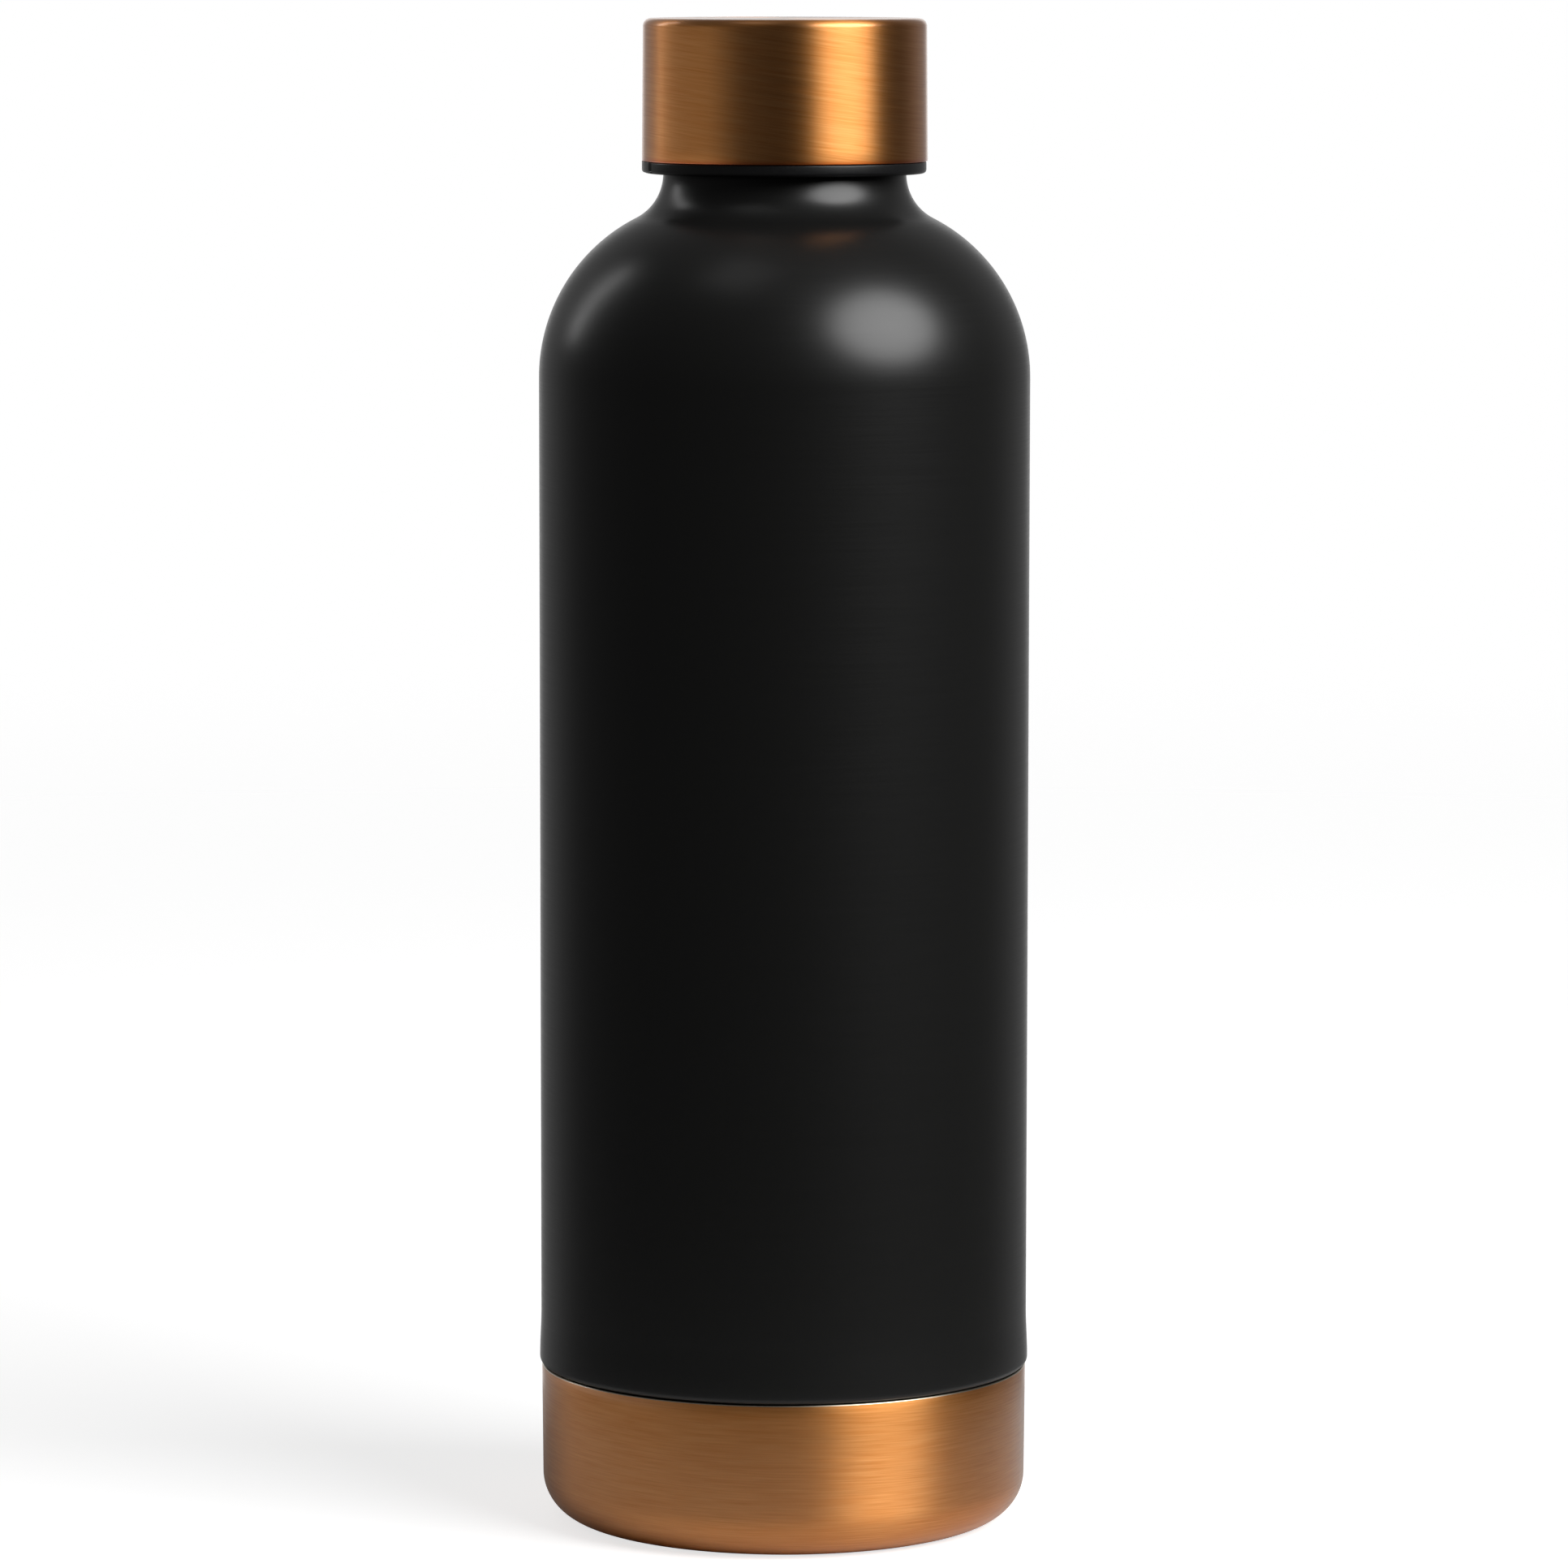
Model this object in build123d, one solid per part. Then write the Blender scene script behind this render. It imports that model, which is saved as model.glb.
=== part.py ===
from build123d import *

import os
from math import atan2, cos, degrees, hypot, radians, sin, sqrt

# Double-wall steel water bottle, black, with a copper-coloured screw lid and base cup.
# Millimetres, +Z up. The origin is the centre of the foot, on the surface it stands on.
# Every section below is drawn as (radius, height) and turned about the Z axis.

# ---------------------------------------------------------------- driving dimensions

# Whole bottle
overall_height = 218.6
body_radius = 35.5
shell_wall = 0.5
vacuum_gap = 3.2

# Outer shell
straight_top = 167.0
shoulder_arc = 25.7
neck_fillet = 7.2
neck_radius = 17.5
neck_lean = 5.1
weld_land_radius = 17.25
weld_land_bottom = 199.2
weld_land_top = 200.0
skirt_radius = 34.6
skirt_corner = 6.4
shell_floor = 3.6
edge_swell = 0.22
edge_swell_top = 31.0
edge_round = 0.8
edge_tuck = 0.3

# Base cup
seam_height = 22.85
seam_gap = 0.16
cup_top_radius = 35.41
cup_low_radius = 35.27
cup_corner = 6.6
foot_inner_radius = 25.0
foot_recess = 1.4
cup_lip_round = 0.12
base_glue_thickness = 0.14
base_glue_low = 11.0
base_glue_high = 20.5

# Inner flask
flask_fillet = 5.0
flask_neck_radius = 16.75
lip_top = 212.2
lip_hem_radius = 0.6
lip_hem_depth = 0.8
flask_floor = 9.0
flask_corner = 8.0
flask_punt = 2.0

# Shell bottom, with what closes and holds the vacuum
shell_punt = 1.0
shell_punt_radius = 23.0
pump_dimple_radius = 4.0
pump_dimple_depth = 1.0
pump_hole_radius = 1.0
bead_crown = 0.5
getter_offset = 14.0
getter_tray_radius = 5.0
getter_tray_height = 1.4
getter_tray_wall = 0.3
getter_foot_width = 2.2
getter_foot_reach = 2.0
getter_radius = 4.4
getter_height = 1.6
getter_chamfer = 0.3

# Screw thread, right-hand, single start
thread_pitch = 5.0
neck_crest_radius = 17.95
neck_thread_start = 201.9
neck_thread_turns = 1.5
ridge_root_width = 2.6
ridge_crest_width = 1.2
thread_runout_turns = 0.11
thread_embed = 0.25
thread_fade = 0.08
lid_crest_radius = 17.1
lid_thread_drop = 2.1
lid_thread_lead = 151.2
lid_thread_turns = 1.5

# Lid
sleeve_bottom = 198.15
sleeve_bottom_radius = 20.6
sleeve_top_radius = 20.45
sleeve_corner = 1.15
rim_bottom = 196.4
rim_top = 198.1
rim_radius = 20.42
rim_round = 0.55
rim_bevel = 0.22
rim_key_radius = 20.6
rim_key_start = 160.0
rim_key_spread = 40.0
lid_outer_radius = 19.9
lid_bore_radius = 18.4
lid_top_plate = 1.8
lid_top_corner = 1.2
sleeve_glue_thickness = 0.2
sleeve_glue_radius = 18.0

# Plug, foam and gasket
plug_radius = 14.4
plug_wall = 1.2
plug_bottom = 208.2
plug_corner = 1.5
plug_flange_radius = 18.3
plug_flange_thickness = 1.5
plug_bead_radius = 14.9
plug_bead_height = 0.7
plug_bead_drop = 0.6
foam_clearance = 0.2
gasket_inner_radius = 14.5
gasket_outer_radius = 17.9
gasket_clearance = 0.1
gasket_round = 0.5

# ---------------------------------------------------------------- worked-out sizes

flask_radius = body_radius - shell_wall - vacuum_gap
flask_arc = shoulder_arc - shell_wall - vacuum_gap
flask_weld_height = flask_floor + flask_corner
shell_punt_height = shell_floor + shell_punt
pump_dimple_top = shell_punt_height + pump_dimple_depth
cup_edge = seam_height - seam_gap / 2
shell_edge = seam_height + seam_gap / 2
lid_top = overall_height - shell_wall - sleeve_glue_thickness
lid_ceiling = lid_top - lid_top_plate
flange_bottom = lid_ceiling - plug_flange_thickness


# ---------------------------------------------------------------- helpers


def turned(section):
    """Turn a closed section about the Z axis."""
    return revolve(Plane.XZ * section, Axis.Z)


def sheet_section(outline, wall=shell_wall):
    """Give an open outline, drawn upwards on the outer face, its wall towards the axis."""
    return make_face(Wire(outline).offset_2d(wall, side=Side.LEFT))


def rounded(face, corners, radius):
    """Round the corners of a section that lie nearest the given points."""
    nearest = [min(face.vertices(), key=lambda v: hypot(v.X - r, v.Y - z)) for r, z in corners]
    return fillet(nearest, radius)


def shoulder(wall_radius, wall_bottom, arc_radius, fillet_radius, neck_point, lean=0.0):
    """Wall, convex shoulder arc and concave neck fillet, as edges tangent to each other.

    The neck is a straight line through neck_point that leans towards the axis going up,
    by lean degrees. The last edge ends where the fillet meets that line.
    """
    slope = radians(lean)
    normal = Vector(cos(slope), sin(slope))
    upward = Vector(-sin(slope), cos(slope))
    arc_centre = Vector(wall_radius - arc_radius, straight_top)
    fillet_base = Vector(*neck_point) + normal * fillet_radius
    offset = fillet_base - arc_centre
    along = offset.dot(upward)
    reach = arc_radius + fillet_radius
    travel = -along + sqrt(along**2 - offset.dot(offset) + reach**2)
    fillet_centre = fillet_base + upward * travel
    arc_end = arc_centre + (fillet_centre - arc_centre) * (arc_radius / reach)
    neck_start = fillet_centre - normal * fillet_radius

    wall = Line((wall_radius, wall_bottom), (wall_radius, straight_top))
    arc = TangentArc(wall @ 1, arc_end, tangent=wall % 1)
    concave = TangentArc(arc @ 1, neck_start, tangent=arc % 1)
    return [wall, arc, concave]


def helix_run(radii, heights, start_angle):
    """One helix edge from radii[0] at heights[0] to radii[1] at heights[1].

    On a cone the pitch counts along the cone's side, so it is longer there.
    """
    rise = heights[1] - heights[0]
    cone = atan2(radii[1] - radii[0], rise)
    pitch = thread_pitch / cos(cone)
    edge = Helix(pitch, rise, radii[0], center=(0, 0, heights[0]), cone_angle=degrees(cone))
    return edge.rotate(Axis.Z, start_angle)


def thread_ridge(root_radius, crest_radius, end_radius, widths, start, turns, start_angle=0.0):
    """Helical ridge of trapezoid section, whose two ends run out to end_radius.

    widths are the root's and the crest's. start is the height of the ridge's middle at
    start_angle. The ridge stands outwards where crest_radius is the larger.
    """
    turn_marks = [0.0, thread_runout_turns, turns - thread_runout_turns, turns]
    crest_radii = [end_radius, crest_radius, crest_radius, end_radius]
    root_half, crest_half = widths[0] / 2, widths[1] / 2

    faces = []
    for step in range(3):
        heights = [start + thread_pitch * turn_marks[step + k] for k in (0, 1)]
        angle = start_angle + 360.0 * turn_marks[step]
        crest = crest_radii[step : step + 2]
        root = [root_radius, root_radius]
        rails = [
            helix_run(root, [z - root_half for z in heights], angle),
            helix_run(crest, [z - crest_half for z in heights], angle),
            helix_run(crest, [z + crest_half for z in heights], angle),
            helix_run(root, [z + root_half for z in heights], angle),
        ]
        for k in range(4):
            faces.append(Face.make_surface_from_curves(rails[k], rails[(k + 1) % 4]))
        if step == 0:
            faces.append(Face(Wire.make_polygon([rail @ 0 for rail in rails])))
        if step == 2:
            faces.append(Face(Wire.make_polygon([rail @ 1 for rail in rails])))
    return Solid(Shell(faces))


# ---------------------------------------------------------------- outer shell and base


def make_outer_shell():
    """Black shell: tucked-in skirt, swelled edge over the seam, wall, shoulder and neck."""
    corner_centre = skirt_radius - skirt_corner
    edge_radius = body_radius + edge_swell
    swell_bottom = shell_edge + edge_round
    swell_middle = ((edge_radius + body_radius) / 2, (swell_bottom + edge_swell_top) / 2)

    start = (corner_centre, shell_floor)
    corner = TangentArc(start, (skirt_radius, shell_floor + skirt_corner), tangent=(1, 0))
    skirt = Line(corner @ 1, (skirt_radius, shell_edge - edge_tuck))
    tuck = TangentArc(skirt @ 1, (skirt_radius + edge_tuck, shell_edge), tangent=(0, 1))
    ledge = Line(tuck @ 1, (edge_radius - edge_round, shell_edge))
    edge = TangentArc(ledge @ 1, (edge_radius, swell_bottom), tangent=(1, 0))
    swell_out = TangentArc(edge @ 1, swell_middle, tangent=(0, 1))
    swell_in = TangentArc(swell_out @ 1, (body_radius, edge_swell_top), tangent=swell_out % 1)

    neck_point = (neck_radius, rim_bottom)
    sides = shoulder(
        body_radius, edge_swell_top, shoulder_arc, neck_fillet, neck_point, neck_lean
    )
    neck = Line(sides[-1] @ 1, (weld_land_radius, weld_land_bottom))
    weld_land = Line(neck @ 1, (weld_land_radius, weld_land_top))
    outline = [corner, skirt, tuck, ledge, edge, swell_out, swell_in, *sides, neck, weld_land]
    return turned(sheet_section(outline))


def make_shell_bottom():
    """Outer bottom disc, raised in the middle, with the pump-down dimple and its hole."""
    outline = Polyline(
        (pump_hole_radius, pump_dimple_top),
        (pump_dimple_radius - pump_dimple_depth, pump_dimple_top),
        (pump_dimple_radius, shell_punt_height),
        (shell_punt_radius - shell_punt, shell_punt_height),
        (shell_punt_radius, shell_floor),
        (skirt_radius - skirt_corner, shell_floor),
    )
    return turned(sheet_section(outline.edges()))


def make_sealing_bead():
    """Glass bead melted into the pump-down hole, with a low crown above it."""
    low, high = pump_dimple_top, pump_dimple_top + shell_wall
    crown = TangentArc(
        (0, high + bead_crown), (pump_hole_radius, high), tangent=(1, 0)
    )
    sides = Polyline(crown @ 1, (pump_hole_radius, low), (0, low), crown @ 0)
    return turned(make_face(Wire([crown, *sides.edges()])))


def make_getter_clip():
    """Pressed tray with two welded feet, standing on the shell bottom."""
    tray = extrude(Circle(getter_tray_radius), getter_tray_height)
    pocket = extrude(Circle(getter_tray_radius - getter_tray_wall), getter_tray_height)
    foot_span = 2 * (getter_tray_radius + getter_foot_reach)
    feet = extrude(Rectangle(getter_foot_width, foot_span), getter_tray_wall)
    clip = tray + feet - Pos(0, 0, getter_tray_wall) * pocket
    return Pos(getter_offset, 0, shell_punt_height + shell_wall) * clip


def make_getter_tablet():
    """Pressed getter disc lying in its tray."""
    tablet = extrude(Circle(getter_radius), getter_height)
    top_edge = tablet.edges().filter_by(GeomType.CIRCLE).sort_by(Axis.Z)[-1]
    height = shell_punt_height + shell_wall + getter_tray_wall
    return Pos(getter_offset, 0, height) * chamfer(top_edge, getter_chamfer)


def make_base_cup():
    """Drawn cup with a drafted wall, a round corner, a flat foot ring and a recess."""
    underside = Polyline(
        (0, foot_recess),
        (foot_inner_radius - foot_recess, foot_recess),
        (foot_inner_radius, 0),
        (cup_low_radius - cup_corner, 0),
    )
    corner = TangentArc(underside @ 1, (cup_low_radius, cup_corner), tangent=(1, 0))
    wall = Line(corner @ 1, (cup_top_radius, cup_edge))
    section = sheet_section([*underside.edges(), corner, wall])
    lip_corners = [(cup_top_radius, cup_edge), (cup_top_radius - shell_wall, cup_edge)]
    return turned(rounded(section, lip_corners, cup_lip_round))


def make_base_glue_ring():
    """Band of adhesive between the shell's skirt and the base cup's wall."""
    band = Rectangle(
        base_glue_thickness, base_glue_high - base_glue_low, align=(Align.MIN, Align.MIN)
    )
    return turned(Pos(skirt_radius, base_glue_low) * band)


# ---------------------------------------------------------------- inner flask


def make_inner_flask():
    """Bare flask: wall, shoulder, neck with a rolled thread, and a lip hemmed inwards."""
    neck_point = (flask_neck_radius, weld_land_bottom)
    sides = shoulder(flask_radius, flask_weld_height, flask_arc, flask_fillet, neck_point)
    hem_centre = lip_top - lip_hem_radius
    mouth_radius = flask_neck_radius - 2 * lip_hem_radius
    neck = Line(sides[-1] @ 1, (flask_neck_radius, hem_centre))
    hem_top = TangentArc(
        neck @ 1, (flask_neck_radius - lip_hem_radius, lip_top), tangent=(0, 1)
    )
    hem_side = TangentArc(hem_top @ 1, (mouth_radius, hem_centre), tangent=(-1, 0))
    hem_end = Line(hem_side @ 1, (mouth_radius, hem_centre - lip_hem_depth))
    flask = turned(sheet_section([*sides, neck, hem_top, hem_side, hem_end]))

    ridge = thread_ridge(
        flask_neck_radius - thread_embed,
        neck_crest_radius,
        flask_neck_radius - thread_fade,
        (ridge_root_width, ridge_crest_width),
        neck_thread_start,
        neck_thread_turns,
    )
    # The sheet is rolled, so a shallower groove follows the ridge on the inside.
    groove = thread_ridge(
        flask_neck_radius - shell_wall - thread_embed,
        neck_crest_radius - shell_wall,
        flask_neck_radius - shell_wall - thread_fade,
        (ridge_root_width - shell_wall, ridge_crest_width - shell_wall),
        neck_thread_start,
        neck_thread_turns,
    )
    return flask + ridge - groove


def make_flask_bottom():
    """Drawn bottom of the flask, domed upwards, butt-welded to the wall."""
    middle = flask_radius - flask_corner
    dome = TangentArc(
        (0, flask_floor + flask_punt), (middle, flask_floor), tangent=(1, 0)
    )
    corner = TangentArc(
        (middle, flask_floor), (flask_radius, flask_weld_height), tangent=(1, 0)
    )
    return turned(sheet_section([dome, corner]))


# ---------------------------------------------------------------- lid


def make_lid_body():
    """Moulded lid: rim band with its raised key, skirt, top plate, and thread in the bore."""
    section = make_face(
        Polyline(
            (lid_bore_radius, rim_bottom),
            (rim_radius, rim_bottom),
            (rim_radius, rim_top),
            (lid_outer_radius, rim_top),
            (lid_outer_radius, lid_top),
            (0, lid_top),
            (0, lid_ceiling),
            (lid_bore_radius, lid_ceiling),
            close=True,
        )
    )
    section = rounded(section, [(rim_radius, rim_bottom)], rim_round)
    section = rounded(section, [(rim_radius, rim_top)], rim_bevel)
    section = rounded(section, [(lid_outer_radius, lid_top)], lid_top_corner)

    ridge = thread_ridge(
        lid_bore_radius + thread_embed,
        lid_crest_radius,
        lid_bore_radius + thread_fade,
        (ridge_root_width, ridge_crest_width),
        neck_thread_start - lid_thread_drop + thread_pitch * lid_thread_lead / 360.0,
        lid_thread_turns,
        lid_thread_lead,
    )
    key_profile = make_face(
        Polyline(
            (lid_outer_radius, rim_bottom),
            (rim_key_radius, rim_bottom),
            (rim_key_radius, rim_top),
            (lid_outer_radius, rim_top),
            close=True,
        )
    )
    key_profile = rounded(key_profile, [(rim_key_radius, rim_bottom)], rim_round)
    key = Rot(0, 0, rim_key_start) * revolve(Plane.XZ * key_profile, Axis.Z, rim_key_spread)
    return turned(section) + ridge + key


def make_cap_sleeve():
    """Drawn sleeve over the lid, slightly drafted, with a rounded top corner."""
    outline = FilletPolyline(
        (sleeve_bottom_radius, sleeve_bottom),
        (sleeve_top_radius, overall_height),
        (0, overall_height),
        radius=sleeve_corner,
    )
    return turned(sheet_section(outline.edges()))


def make_sleeve_glue():
    """Thin layer of adhesive between the lid body's top and the sleeve."""
    return Pos(0, 0, lid_top) * extrude(Circle(sleeve_glue_radius), sleeve_glue_thickness)


def make_lid_plug():
    """Hollow plug that reaches into the mouth, with a flange under the lid's top plate."""
    section = make_face(
        Polyline(
            (0, plug_bottom),
            (plug_radius, plug_bottom),
            (plug_radius, flange_bottom),
            (plug_flange_radius, flange_bottom),
            (plug_flange_radius, lid_ceiling),
            (plug_radius - plug_wall, lid_ceiling),
            (plug_radius - plug_wall, plug_bottom + plug_wall),
            (0, plug_bottom + plug_wall),
            close=True,
        )
    )
    section = rounded(section, [(plug_radius, plug_bottom)], plug_corner)
    bead_top = lip_top - plug_bead_drop
    bead = Polyline(
        (plug_radius - plug_wall / 2, bead_top - 2 * plug_bead_height),
        (plug_radius, bead_top - 2 * plug_bead_height),
        (plug_bead_radius, bead_top - plug_bead_height),
        (plug_bead_radius, bead_top),
        (plug_radius - plug_wall / 2, bead_top),
        close=True,
    )
    return turned(section + make_face(bead))


def make_lid_foam():
    """Insulating foam disc that fills the plug."""
    bottom = plug_bottom + plug_wall + foam_clearance / 2
    height = lid_ceiling - foam_clearance / 2 - bottom
    disc = Circle(plug_radius - plug_wall - foam_clearance)
    return Pos(0, 0, bottom) * extrude(disc, height)


def make_lid_gasket():
    """Silicone ring between the plug's flange and the lip."""
    low, high = lip_top + gasket_clearance, flange_bottom - gasket_clearance
    ring = Rectangle(
        gasket_outer_radius - gasket_inner_radius, high - low, align=(Align.MIN, Align.MIN)
    )
    section = Pos(gasket_inner_radius, low) * ring
    outer_corners = [(gasket_outer_radius, low), (gasket_outer_radius, high)]
    return turned(rounded(section, outer_corners, gasket_round))


# ---------------------------------------------------------------- write every piece

pieces = {
    "outer_shell": make_outer_shell,
    "shell_bottom": make_shell_bottom,
    "sealing_bead": make_sealing_bead,
    "getter_clip": make_getter_clip,
    "getter_tablet": make_getter_tablet,
    "base_cup": make_base_cup,
    "base_glue_ring": make_base_glue_ring,
    "inner_flask": make_inner_flask,
    "flask_bottom": make_flask_bottom,
    "lid_body": make_lid_body,
    "cap_sleeve": make_cap_sleeve,
    "sleeve_glue": make_sleeve_glue,
    "lid_plug": make_lid_plug,
    "lid_foam": make_lid_foam,
    "lid_gasket": make_lid_gasket,
}

os.makedirs("parts", exist_ok=True)
for name, make in pieces.items():
    export_step(make(), f"parts/{name}.step")
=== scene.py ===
# %% [markdown]
# # A double-wall steel bottle with a copper-coloured lid and base
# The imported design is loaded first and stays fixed: it says where every piece is and how the
# lid moves. This lesson gives the pieces that show a finer mesh, gives every piece the finish
# of the real material, and sets up the studio.

# %% Load the frame and keep its box
from math import atan2, cos, degrees, hypot, pi, radians, sin, sqrt

import bpy
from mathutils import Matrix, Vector


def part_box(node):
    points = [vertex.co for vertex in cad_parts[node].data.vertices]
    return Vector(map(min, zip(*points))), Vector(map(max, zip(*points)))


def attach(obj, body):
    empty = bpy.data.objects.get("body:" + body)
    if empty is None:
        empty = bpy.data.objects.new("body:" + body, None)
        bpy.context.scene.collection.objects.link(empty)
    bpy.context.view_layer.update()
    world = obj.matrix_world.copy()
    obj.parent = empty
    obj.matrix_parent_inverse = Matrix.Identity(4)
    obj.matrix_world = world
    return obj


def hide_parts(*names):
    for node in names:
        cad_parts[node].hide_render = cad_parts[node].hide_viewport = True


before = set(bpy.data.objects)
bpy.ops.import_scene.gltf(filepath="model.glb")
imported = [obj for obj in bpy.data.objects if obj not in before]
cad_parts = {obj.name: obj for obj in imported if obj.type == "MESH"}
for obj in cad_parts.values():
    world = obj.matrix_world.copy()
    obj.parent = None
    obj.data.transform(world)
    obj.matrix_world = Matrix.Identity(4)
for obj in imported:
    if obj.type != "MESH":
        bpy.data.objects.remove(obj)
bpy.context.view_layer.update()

MM = 0.001

# %% [markdown]
# ## Turned shapes
# Drawn steel shells and moulded round lids are bodies of revolution, so each is made as on a
# lathe: half its outline is drawn as a chain of points beside the axis, and the chain is spun
# through a full turn. An outline is a list of (radius, height) points in millimetres. Round
# stretches come from an arc, so no table of points is needed. A finer turn than the design's
# own mesh keeps reflections smooth on polished metal.

# %% Outline helpers
def arc(centre, radius, start, end, steps=12):
    """Points on an arc about centre; angles in degrees, 0 points outwards and 90 upwards."""
    angles = [radians(start + (end - start) * k / steps) for k in range(steps + 1)]
    return [(centre[0] + radius * cos(a), centre[1] + radius * sin(a)) for a in angles]


def rungs(start, end, steps):
    """Evenly spaced points on a straight stretch, both ends included."""
    return [
        (start[0] + (end[0] - start[0]) * k / steps, start[1] + (end[1] - start[1]) * k / steps)
        for k in range(steps + 1)
    ]


# %% [markdown]
# A shell's shoulder is a convex arc that runs into a concave fillet at the neck. Both arcs and
# the two straight stretches beside them touch without a corner, which fixes where they meet.

# %% The shoulder outline
def shoulder(wall_radius, top, arc_radius, fillet_radius, neck, neck_height, lean=0.0):
    """Convex shoulder arc and concave neck fillet, tangent to the wall and to the neck line.

    lean is the angle in degrees by which the neck line narrows upwards.
    """
    slope = radians(lean)
    normal = Vector((cos(slope), sin(slope)))
    upward = Vector((-sin(slope), cos(slope)))
    arc_centre = Vector((wall_radius - arc_radius, top))
    base = Vector((neck, neck_height)) + normal * fillet_radius
    offset = base - arc_centre
    along = offset.dot(upward)
    reach = arc_radius + fillet_radius
    travel = -along + sqrt(along**2 - offset.length_squared + reach**2)
    fillet_centre = base + upward * travel
    direction = fillet_centre - arc_centre
    meet = degrees(atan2(direction.y, direction.x))
    convex = arc(arc_centre, arc_radius, 0, meet, steps=36)
    concave = arc(fillet_centre, fillet_radius, meet + 180, lean + 180, steps=20)
    return convex + concave[1:]


# %% [markdown]
# The chain of points starts as one vertex: a tiny plane merged at its centre. It is extruded
# from point to point and then spun. Points on the axis are merged, which closes the poles, and
# the normals are made to point outwards before any wall is added.

# %% Spin an outline into a piece
TURN_STEPS = 192
MERGE_WITHIN = 0.002


def select_nothing():
    """Leave edit mode and deselect every object."""
    if bpy.context.object and bpy.context.object.mode != "OBJECT":
        bpy.ops.object.mode_set(mode="OBJECT")
    bpy.ops.object.select_all(action="DESELECT")


def turn(name, outline, steps=TURN_STEPS):
    """Draw an outline beside the axis and spin it through a full turn."""
    select_nothing()
    first = outline[0]
    bpy.ops.mesh.primitive_plane_add(size=MM, location=(first[0] * MM, 0, first[1] * MM))
    piece = bpy.context.object
    piece.name = piece.data.name = name
    bpy.ops.object.transform_apply(location=True, rotation=True, scale=True)
    bpy.ops.object.mode_set(mode="EDIT")
    bpy.ops.mesh.select_all(action="SELECT")
    bpy.ops.mesh.merge(type="CENTER")
    for here, there in zip(outline, outline[1:]):
        step = ((there[0] - here[0]) * MM, 0, (there[1] - here[1]) * MM)
        bpy.ops.mesh.extrude_vertices_move(TRANSFORM_OT_translate={"value": step})
    bpy.ops.mesh.select_all(action="SELECT")
    bpy.ops.mesh.spin(steps=steps, angle=2 * pi, center=(0, 0, 0), axis=(0, 0, 1))
    bpy.ops.mesh.select_all(action="SELECT")
    bpy.ops.mesh.remove_doubles(threshold=MERGE_WITHIN * MM)
    bpy.ops.mesh.normals_make_consistent(inside=False)
    bpy.ops.object.mode_set(mode="OBJECT")
    return piece


def wall(piece, thickness):
    """Give a turned sheet its thickness, inwards, and apply it."""
    modifier = piece.modifiers.new("wall", "SOLIDIFY")
    modifier.thickness = thickness * MM
    modifier.offset = -1
    modifier.use_even_offset = True
    bpy.ops.object.modifier_apply(modifier=modifier.name)


def break_edges(piece, width, segments, limit=50):
    """Take the sharpness off a piece's corners with a small bevel."""
    modifier = piece.modifiers.new("broken edges", "BEVEL")
    modifier.width = width * MM
    modifier.segments = segments
    modifier.limit_method = "ANGLE"
    modifier.angle_limit = radians(limit)
    bpy.ops.object.modifier_apply(modifier=modifier.name)


def smooth(piece, angle=35):
    """Shade smooth, but keep edges sharper than the angle."""
    select_nothing()
    piece.select_set(True)
    bpy.context.view_layer.objects.active = piece
    bpy.ops.object.shade_smooth_by_angle(angle=radians(angle))


def seat(piece, body, slot, *nodes):
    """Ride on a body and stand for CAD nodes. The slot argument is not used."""
    smooth(piece)
    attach(piece, body)
    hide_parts(*nodes)
    high = max(v.co.z for v in piece.data.vertices) / MM
    low = min(v.co.z for v in piece.data.vertices) / MM
    print(f"{piece.name}: {len(piece.data.polygons)} faces, {low:.2f} to {high:.2f} mm high")


# %% [markdown]
# ## The black shell
# On the real bottle this is a tube of stainless steel, swaged in at the bottom to take the
# base cup and necked at the top to meet the lid, then sprayed black. Its lower edge swells by
# a fifth of a millimetre over the joint, which catches a thin line of light. One outline
# follows the outer face from the bottom weld to the top of the neck, and a solidify modifier
# gives it the half-millimetre sheet.

# %% Black shell
SHEET = 0.5
BODY_RADIUS = 35.5
SKIRT_RADIUS, SKIRT_CORNER, SHELL_FLOOR = 34.6, 6.4, 3.6
SEAM_HEIGHT, SEAM_GAP = 22.85, 0.16
EDGE_SWELL, EDGE_ROUND, SWELL_TOP = 0.22, 0.8, 31.0
STRAIGHT_TOP, SHOULDER_ARC, NECK_FILLET = 167.0, 25.7, 7.2
NECK_RADIUS, NECK_LEAN, RIM_BOTTOM = 17.5, 5.1, 196.4
WELD_LAND_RADIUS, WELD_LAND_BOTTOM, WELD_LAND_TOP = 17.25, 199.2, 200.0
STEP_ROUND = 0.3
SWELL_STEPS = 14

shell_edge = SEAM_HEIGHT + SEAM_GAP / 2
swell_radius = BODY_RADIUS + EDGE_SWELL
swell_bottom = shell_edge + EDGE_ROUND
corner_centre = (SKIRT_RADIUS - SKIRT_CORNER, SHELL_FLOOR + SKIRT_CORNER)
round_centre = (swell_radius - EDGE_ROUND, swell_bottom)


def swell(share):
    """Radius and height on the swelled edge. The swell eases from full at 0 to none at 1."""
    remaining = 0.5 + 0.5 * cos(pi * share)
    radius = BODY_RADIUS + EDGE_SWELL * remaining
    return (radius, swell_bottom + (SWELL_TOP - swell_bottom) * share)


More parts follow.
